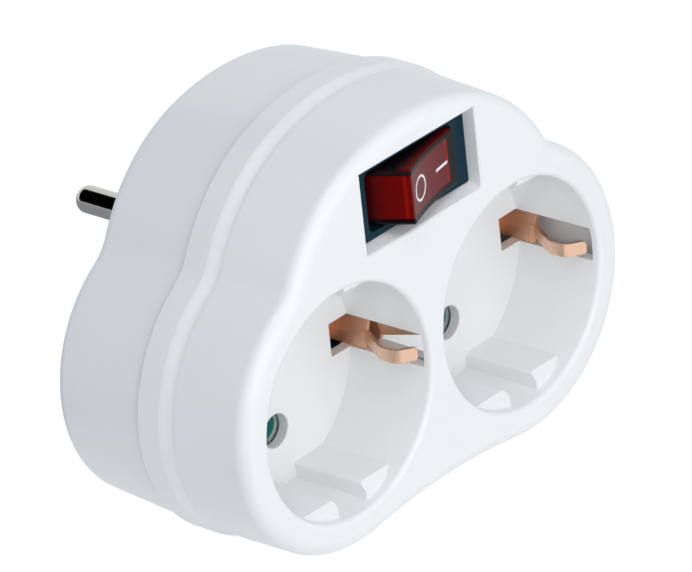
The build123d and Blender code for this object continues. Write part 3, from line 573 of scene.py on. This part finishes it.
def flat_panel(name, centre, normal, width, height):
    """A rectangle of the stage that faces along a direction."""
    x, y = width / 2, height / 2
    bm = bmesh.new()
    bm.faces.new([bm.verts.new(corner) for corner in ((-x, -y, 0), (x, -y, 0), (x, y, 0), (-x, y, 0))])
    mesh = bpy.data.meshes.new(name)
    bm.to_mesh(mesh)
    bm.free()
    panel = bpy.data.objects.new(name, mesh)
    turn = Vector(normal).to_track_quat("Z", "Y").to_matrix().to_4x4()
    panel.matrix_world = Matrix.Translation(centre) @ turn
    bpy.context.scene.collection.objects.link(panel)
    return panel


def seen_as_white(tree):
    """One for rays from the camera or off metal and glass, and none for the rest."""
    path = tree.nodes.new("ShaderNodeLightPath")
    seen = reckon(tree, "MAXIMUM", path.outputs["Is Camera Ray"], path.outputs["Is Glossy Ray"])
    return reckon(tree, "MAXIMUM", seen, path.outputs["Is Transmission Ray"])


def white_floor():
    """White floor under the part, that keeps a faint shadow."""
    material = bpy.data.materials.new("white_floor")
    material.use_nodes = True
    tree = material.node_tree
    tree.nodes.clear()
    out = tree.nodes.new("ShaderNodeOutputMaterial")
    card = tree.nodes.new("ShaderNodeBsdfDiffuse")
    card.inputs["Color"].default_value = (floor_grey, floor_grey, floor_grey, 1.0)
    glow = tree.nodes.new("ShaderNodeEmission")
    glow.inputs["Color"].default_value = (*pure_white, 1.0)
    glow.inputs["Strength"].default_value = floor_glow
    mix = tree.nodes.new("ShaderNodeMixShader")
    link(tree, between(tree, seen_as_white(tree), 0.0, floor_glow_share), mix.inputs["Fac"])
    link(tree, card.outputs["BSDF"], mix.inputs[1])
    link(tree, glow.outputs["Emission"], mix.inputs[2])
    link(tree, mix.outputs["Shader"], out.inputs["Surface"])
    floor = flat_panel("floor", (0.0, 0.0, cad_low.z), upwards, floor_side, floor_side)
    floor.data.materials.append(material)


def dark_card(name, centre, normal, size, shade=0.0):
    """Black or grey card that only shows in reflections."""
    material, _, shader = new_material(name)
    shader.inputs["Base Color"].default_value = (shade, shade, shade, 1.0)
    shader.inputs["Specular IOR Level"].default_value = 0.0
    card = flat_panel(name, centre, normal, *size)
    card.data.materials.append(material)
    card.visible_camera = False
    card.visible_diffuse = False
    card.visible_transmission = False
    card.visible_shadow = False


def reflected_cards():
    """Cards that the plug's pins and the rocker reflect."""
    pin_low, pin_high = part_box("upper_plug_pin")
    dark_card("pin_card", (pin_low + pin_high) / 2 + pin_card_place, pin_card_faces, pin_card_size)
    dark_card("pin_floor_card", floor_card_place, upwards, floor_card_size, floor_card_shade)
    dark_card("rocker_card", rocker_axis - rocker_card_distance * rocker_card_faces, rocker_card_faces,
              rocker_card_size)


def soft_light(name, centre, aim, power):
    """A large square lamp that faces a point."""
    lamp = bpy.data.lights.new(name, "AREA")
    lamp.size = lamp_side
    lamp.energy = power
    lamp.color = lamp_white
    holder = bpy.data.objects.new(name, lamp)
    holder.location = centre
    holder.rotation_euler = (Vector(aim) - Vector(centre)).to_track_quat("-Z", "Y").to_euler()
    bpy.context.scene.collection.objects.link(holder)


def even_sky(strength):
    """Even light from all round, a little cool, that looks plain white."""
    world = bpy.data.worlds.new("sky")
    world.use_nodes = True
    tree = world.node_tree
    back = tree.nodes["Background"]
    seen = seen_as_white(tree)
    link(tree, tint(tree, seen, cool_white, pure_white), back.inputs["Color"])
    link(tree, between(tree, seen, strength, 1.0), back.inputs["Strength"])
    bpy.context.scene.world = world


def photo_camera(settings):
    """The camera at the photograph's angle, with its long lens."""
    data = bpy.data.cameras.new("camera")
    data.sensor_fit = "HORIZONTAL"
    data.sensor_width = sensor_width
    data.lens = settings.focal_pixels * sensor_width / image_width
    data.clip_end = camera_reach
    camera = bpy.data.objects.new("camera", data)
    turn = (Matrix.Rotation(settings.azimuth, 4, "Z")
            @ Matrix.Rotation(radians(90) - settings.elevation, 4, "X")
            @ Matrix.Rotation(settings.roll, 4, "Z"))
    back_off = Matrix.Translation((0, 0, settings.distance))
    camera.matrix_world = Matrix.Translation(settings.aim) @ turn @ back_off
    bpy.context.scene.collection.objects.link(camera)
    bpy.context.scene.camera = camera


class ADAPTER_OT_stage(bpy.types.Operator):
    """Set the floor, the lights, the cards and the camera"""

    bl_idname = "adapter.stage"
    bl_label = "Stage"

    def execute(self, context):
        settings = context.scene.adapter_stage
        white_floor()
        even_sky(settings.world_strength)
        soft_light("key_light", key_place, settings.aim, settings.key_power)
        soft_light("fill_light", fill_place, settings.aim, settings.fill_power)
        soft_light("top_light", top_place, settings.aim, settings.top_power)
        reflected_cards()
        photo_camera(settings)
        context.scene.view_settings.view_transform = "Standard"
        return {"FINISHED"}


class ADAPTER_PT_looks(bpy.types.Panel):
    """Lists the finishes and the stage of the adapter"""

    bl_idname = "ADAPTER_PT_looks"
    bl_label = "Socket adapter"
    bl_space_type = "VIEW_3D"
    bl_region_type = "UI"
    bl_category = "Adapter"

    def draw(self, context):
        for group in (context.scene.adapter_finishes, context.scene.adapter_stage):
            column = self.layout.column()
            for name in group.bl_rna.properties.keys():
                if name not in ("rna_type", "name"):
                    column.prop(group, name)
        for operator in operators:
            self.layout.operator(operator.bl_idname)


operators = (
    ADAPTER_OT_housing, ADAPTER_OT_earth_parts, ADAPTER_OT_plug_metal, ADAPTER_OT_contacts,
    ADAPTER_OT_switch_body, ADAPTER_OT_rocker, ADAPTER_OT_stage,
)
classes = (AdapterFinishes, AdapterStage, *operators, ADAPTER_PT_looks)


def register():
    """Adds the settings, the operators and the panel to Blender."""
    for cls in classes:
        bpy.utils.register_class(cls)
    bpy.types.Scene.adapter_finishes = PointerProperty(type=AdapterFinishes)
    bpy.types.Scene.adapter_stage = PointerProperty(type=AdapterStage)


def unregister():
    """Takes them out again."""
    del bpy.types.Scene.adapter_stage
    del bpy.types.Scene.adapter_finishes
    for cls in reversed(classes):
        bpy.utils.unregister_class(cls)


def main():
    """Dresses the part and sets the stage."""
    register()
    bpy.ops.adapter.housing()
    bpy.ops.adapter.earth_parts()
    bpy.ops.adapter.plug_metal()
    bpy.ops.adapter.contacts()
    bpy.ops.adapter.switch_body()
    bpy.ops.adapter.rocker()
    bpy.ops.adapter.stage()


if __name__ == "__main__":
    main()
